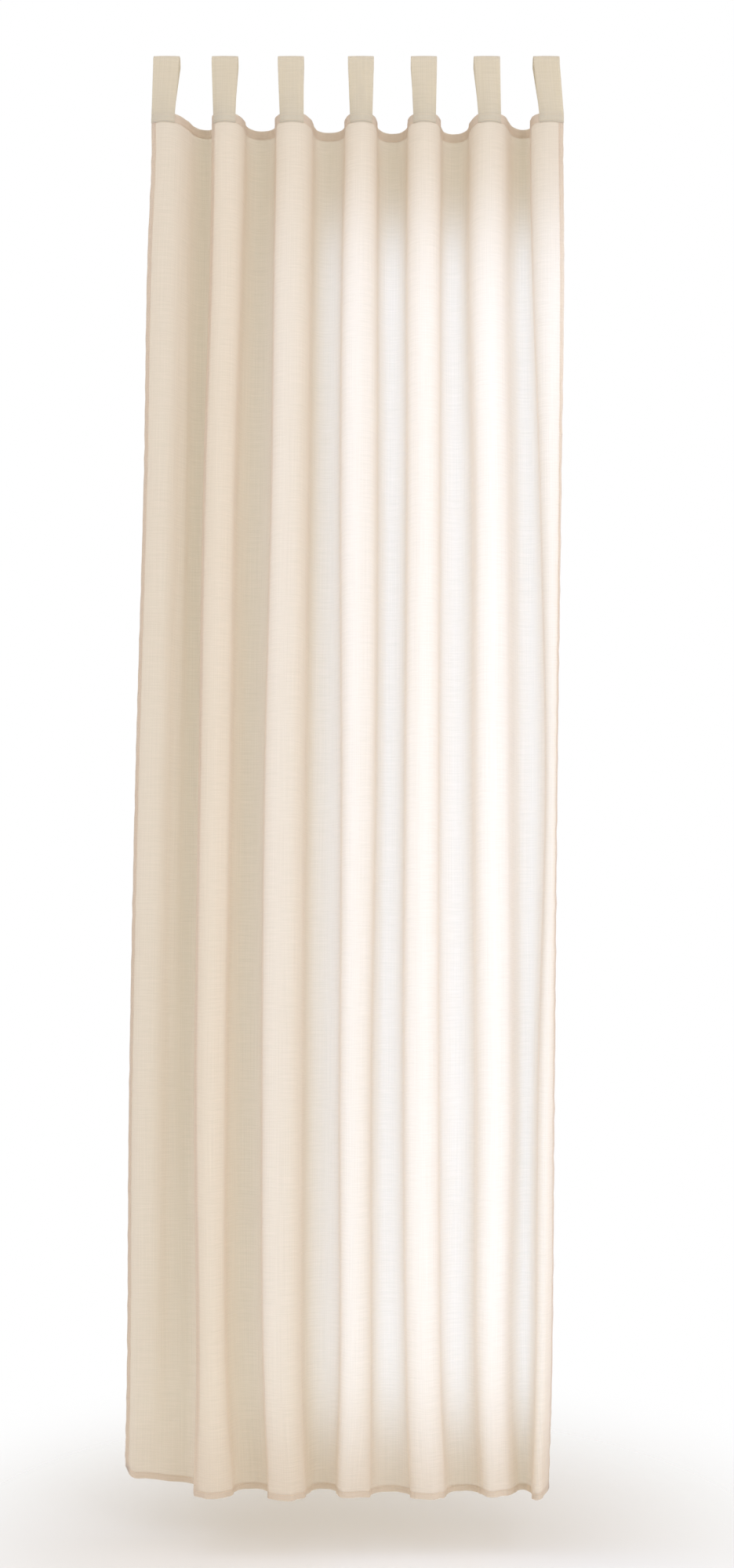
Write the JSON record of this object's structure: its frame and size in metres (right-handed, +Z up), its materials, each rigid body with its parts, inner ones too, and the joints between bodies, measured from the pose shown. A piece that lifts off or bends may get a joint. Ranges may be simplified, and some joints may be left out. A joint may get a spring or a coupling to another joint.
{
  "type": "sheer voile curtain panel with tab loops",
  "caption": "Sheer voile curtain panel that hangs in soft vertical folds from tab loops sewn along its top edge.",
  "frame": {"origin": "middle of the line that a curtain rod takes through the tab loops, under their tops", "axes": "+Z up, +X to the right as seen from the room, -Y towards the room, +Y towards the wall or window"},
  "size_m": [0.757, 0.1403, 2.457],
  "materials": {
    "sheer_voile": "sheer plain-weave voile, matt, sand",
    "doubled_voile": "the same voile folded double, matt, sand",
    "sewing_thread": "polyester sewing thread, sand"
  },
  "bodies": {
    "root": {"panel": "sheer_voile", "tab_1": "doubled_voile", "tab_2": "doubled_voile", "tab_3": "doubled_voile", "tab_4": "doubled_voile", "tab_5": "doubled_voile", "tab_6": "doubled_voile", "tab_7": "doubled_voile"}
  },
  "joints": []
}
